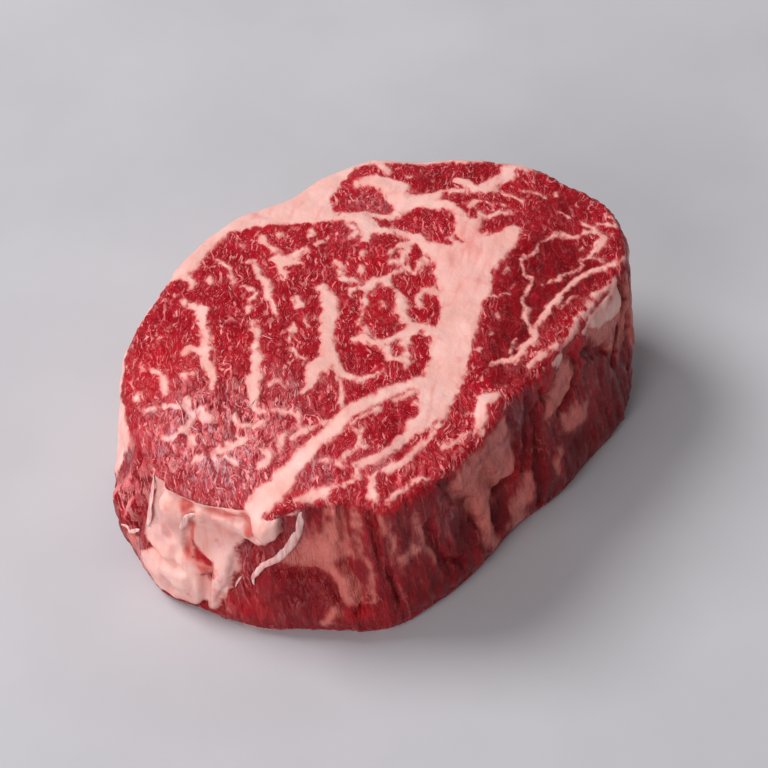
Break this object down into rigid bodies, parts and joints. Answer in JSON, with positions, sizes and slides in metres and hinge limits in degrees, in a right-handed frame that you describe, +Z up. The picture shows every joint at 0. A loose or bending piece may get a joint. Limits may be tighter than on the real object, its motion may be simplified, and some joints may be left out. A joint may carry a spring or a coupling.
{
  "type": "raw beef steak",
  "caption": "Thick-cut boneless raw beef ribeye steak, lying flat on its lower cut face, with marbled lean, a fat kernel and a fat rim.",
  "frame": {"origin": "middle of the base of the steak's box, on the surface it lies on", "axes": "+X along the steak's length from the fat end to the cap end, +Y towards the eye's fat rim, +Z up through the thickness"},
  "size_m": [0.138, 0.098, 0.0466],
  "materials": {
    "raw_beef": "moist raw lean with pale pink fat"
  },
  "bodies": {
    "root": {"steak": "raw_beef"}
  },
  "joints": []
}
